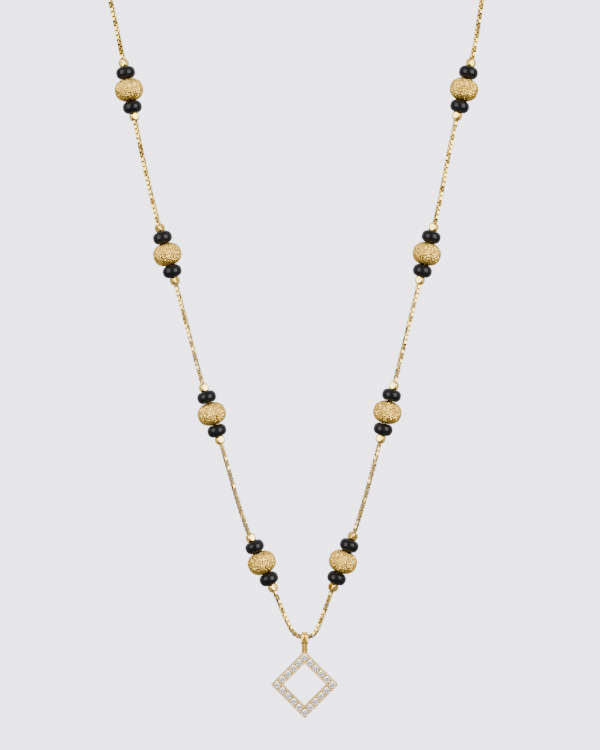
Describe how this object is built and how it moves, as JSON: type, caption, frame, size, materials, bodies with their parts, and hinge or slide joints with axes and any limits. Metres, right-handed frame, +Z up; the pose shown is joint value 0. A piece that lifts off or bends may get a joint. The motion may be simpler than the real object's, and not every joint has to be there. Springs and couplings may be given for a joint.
{
  "type": "mangalsutra necklace",
  "caption": "Fine gold box-chain necklace with groups of gold and black beads and an open diamond pendant set with clear stones, hanging from the nape.",
  "frame": {"origin": "middle of the clasp, which lies at the nape of the neck that the necklace hangs on", "axes": "+Z up, -Y towards the front where the pendant hangs, +X to the right as the viewer sees the front"},
  "size_m": [0.1034, 0.0841, 0.1607],
  "materials": {
    "chain_gold": "polished gold plate",
    "bead_gold": "diamond-cut matte gold plate",
    "spacer_gold": "polished gold plate",
    "black_glass": "polished black glass",
    "pendant_gold": "polished gold plate",
    "clear_stone": "cut and polished clear stone",
    "clasp_gold": "polished gold plate"
  },
  "bodies": {
    "necklace": {"chain_left": "chain_gold", "chain_right": "chain_gold", "gold_bead_left_1": "bead_gold", "gold_bead_left_2": "bead_gold", "gold_bead_left_3": "bead_gold", "gold_bead_left_4": "bead_gold", "gold_bead_right_1": "bead_gold", "gold_bead_right_2": "bead_gold", "gold_bead_right_3": "bead_gold", "gold_bead_right_4": "bead_gold", "black_bead_left_1_upper": "black_glass", "black_bead_left_1_lower": "black_glass", "black_bead_left_2_upper": "black_glass", "black_bead_left_2_lower": "black_glass", "black_bead_left_3_upper": "black_glass", "black_bead_left_3_lower": "black_glass", "black_bead_left_4_upper": "black_glass", "black_bead_left_4_lower": "black_glass", "black_bead_right_1_upper": "black_glass", "black_bead_right_1_lower": "black_glass", "black_bead_right_2_upper": "black_glass", "black_bead_right_2_lower": "black_glass", "black_bead_right_3_upper": "black_glass", "black_bead_right_3_lower": "black_glass", "black_bead_right_4_upper": "black_glass", "black_bead_right_4_lower": "black_glass", "spacer_left_1_upper": "spacer_gold", "spacer_left_1_lower": "spacer_gold", "spacer_left_2_upper": "spacer_gold", "spacer_left_2_lower": "spacer_gold", "spacer_left_3_upper": "spacer_gold", "spacer_left_3_lower": "spacer_gold", "spacer_left_4_upper": "spacer_gold", "spacer_left_4_lower": "spacer_gold", "spacer_right_1_upper": "spacer_gold", "spacer_right_1_lower": "spacer_gold", "spacer_right_2_upper": "spacer_gold", "spacer_right_2_lower": "spacer_gold", "spacer_right_3_upper": "spacer_gold", "spacer_right_3_lower": "spacer_gold", "spacer_right_4_upper": "spacer_gold", "spacer_right_4_lower": "spacer_gold", "clasp": "clasp_gold"},
    "pendant": {"pendant_frame": "pendant_gold", "stones": "clear_stone"}
  },
  "joints": [
    {"name": "pendant_swing", "type": "hinge", "parent": "necklace", "child": "pendant", "pos_m": [0.0017, -0.08, -0.1446], "axis": [1, 0, 0], "range_deg": [-90, 90]}
  ]
}
